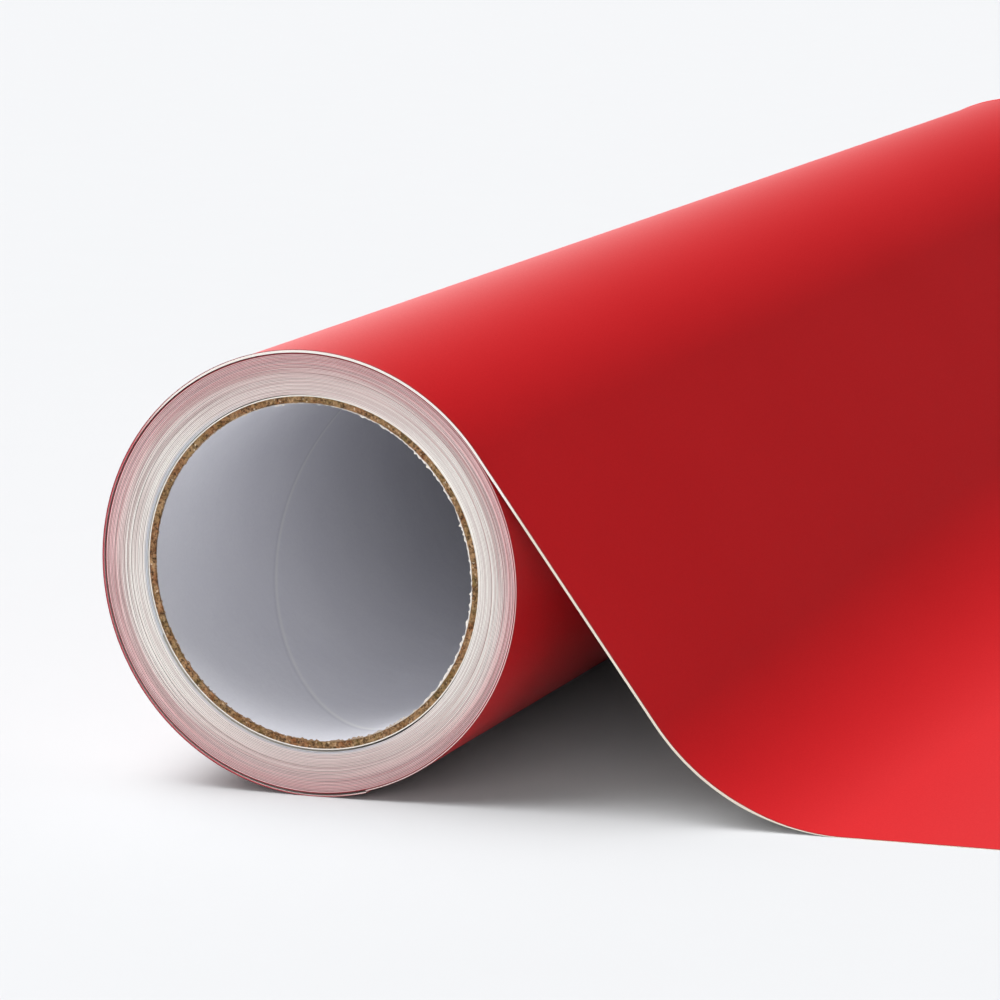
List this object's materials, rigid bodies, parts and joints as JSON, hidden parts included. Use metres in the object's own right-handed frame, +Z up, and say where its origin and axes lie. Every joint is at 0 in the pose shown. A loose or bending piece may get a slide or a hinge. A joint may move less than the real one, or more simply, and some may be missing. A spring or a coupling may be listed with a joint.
{
  "type": "roll of sign vinyl",
  "caption": "Roll of coloured self-adhesive vinyl on a paper liner, wound on an open paperboard core, its loose end draped from the top of the roll to the surface that it lies on.",
  "frame": {"origin": "centre of the core's bore, midway along the roll", "axes": "+Y along the core's bore, +X towards the loose end of the web, +Z up"},
  "size_m": [0.3507, 0.61, 0.1014],
  "materials": {
    "vinyl_film": "satin",
    "release_liner": "smooth, silicone coated",
    "core_board": "fibrous",
    "core_lining": "matte",
    "core_wrap": "matte",
    "tape": "translucent"
  },
  "bodies": {
    "loose_web": {"outer_lap_liner": "release_liner", "outer_lap_film": "vinyl_film", "drape_liner": "release_liner", "drape_film": "vinyl_film", "flat_liner": "release_liner", "flat_film": "vinyl_film"},
    "roll": {"core_lining": "core_lining", "core_board_ply_1": "core_board", "core_board_ply_2": "core_board", "core_board_ply_3": "core_board", "core_wrap": "core_wrap", "start_tape": "tape", "wound_liner": "release_liner", "wound_film": "vinyl_film"},
    "free_end": {"free_end_liner": "release_liner", "free_end_film": "vinyl_film"}
  },
  "joints": [
    {"name": "roll_turn", "type": "hinge", "parent": "loose_web", "child": "roll", "pos_m": [-0.00113, 0, -0.00049], "axis": [0, 1, 0], "range_deg": [-90, 360]},
    {"name": "web_pull", "type": "slide", "parent": "loose_web", "child": "free_end", "axis": [1, 0, 0], "range_m": [-0.0795, 0.318], "deforming": ["flat_film", "flat_liner"]}
  ],
  "couplings": [
    {"joint": "web_pull", "follows": "roll_turn", "m_per_rad": 0.050575}
  ]
}
